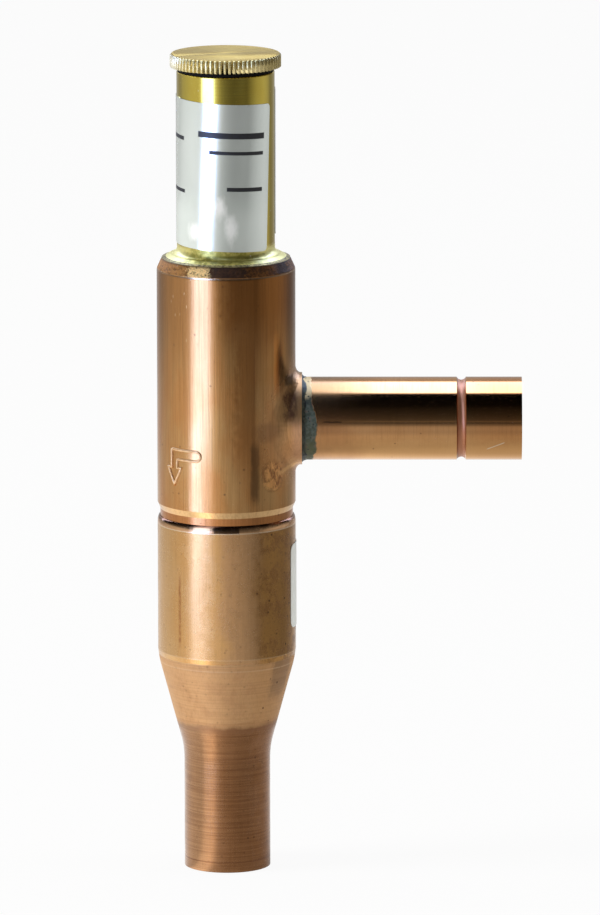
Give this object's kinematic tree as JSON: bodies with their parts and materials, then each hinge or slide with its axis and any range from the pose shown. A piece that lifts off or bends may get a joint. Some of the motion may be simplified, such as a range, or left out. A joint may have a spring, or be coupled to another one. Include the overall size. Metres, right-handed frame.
{
  "type": "crankcase pressure regulator",
  "caption": "Slim copper angle valve with a side inlet, a brass spring housing under a knurled cap, and a bellows-balanced valve plate that shuts on rising outlet pressure.",
  "frame": {"origin": "on the valve axis, at the mouth of the lower tube end", "axes": "+Z along the valve axis up to the cap, +X along the side branch, -Y towards the side that the picture shows"},
  "size_m": [0.079, 0.03, 0.179],
  "materials": {
    "copper": "drawn copper, lightly tarnished, with heat stains round the branch",
    "copper_lower": "drawn copper, lightly tarnished, spun marks on the cone and the tube end",
    "copper_branch": "bright drawn copper tube",
    "brass_housing": "turned brass",
    "brass": "turned brass",
    "brass_cap": "turned brass, straight knurl",
    "braze": "silver braze metal",
    "braze_stained": "braze metal with a grey green oxide",
    "bronze": "thin formed bronze",
    "spring_steel": "oil-hardened spring wire",
    "steel": "turned stainless steel",
    "sheet_steel": "pressed steel sheet",
    "seal_polymer": "pale fluoropolymer",
    "gasket_rubber": "black rubber",
    "label_film": null,
    "label_paper": "off-white paper, bare"
  },
  "bodies": {
    "body": {"upper_shell": "copper", "lower_shell": "copper_lower", "branch_tube": "copper_branch", "spring_housing": "brass_housing", "housing_braze_ring": "braze", "branch_braze_ring": "braze_stained", "seat_ring": "brass", "damper_bracket": "sheet_steel", "damper_cylinder": "brass", "damper_cover": "sheet_steel", "damper_rivets": "sheet_steel", "housing_label": "label_film", "body_label": "label_paper", "bellows": "bronze", "main_spring": "spring_steel"},
    "valve": {"spindle": "steel", "lower_spring_plate": "steel", "spindle_top_nut": "steel", "bellows_end_cap": "brass", "valve_plate": "brass", "valve_seal": "seal_polymer", "valve_plate_nut": "steel", "damper_piston": "brass"},
    "spring_plate": {"upper_spring_plate": "steel"},
    "setting_screw": {"setting_screw": "brass"},
    "gasket": {"cap_gasket": "gasket_rubber"},
    "cap": {"protective_cap": "brass_cap"}
  },
  "joints": [
    {"name": "valve_travel", "type": "slide", "parent": "body", "child": "valve", "axis": [0, 0, 1], "range_m": [0, 0.00398], "stiffness_N_per_m": 2000, "springref_m": -0.01, "deforming": ["bellows"]},
    {"name": "setting_slide", "type": "slide", "parent": "body", "child": "spring_plate", "axis": [0, 0, 1], "range_m": [-0.013, 0], "deforming": ["main_spring"]},
    {"name": "setting_turn", "type": "hinge", "parent": "spring_plate", "child": "setting_screw", "pos_m": [0, 0, 0.166], "axis": [0, 0, 1], "range_deg": [-4680, 0]},
    {"name": "cap_slide", "type": "slide", "parent": "body", "child": "gasket", "axis": [0, 0, 1], "range_m": [0, 0.0054]},
    {"name": "cap_turn", "type": "hinge", "parent": "gasket", "child": "cap", "pos_m": [0, 0, 0.176], "axis": [0, 0, 1], "range_deg": [0, 1944]}
  ],
  "couplings": [
    {"joint": "setting_turn", "follows": "setting_slide", "rad_per_m": 6283.2},
    {"joint": "cap_turn", "follows": "cap_slide", "rad_per_m": 6283.2}
  ]
}
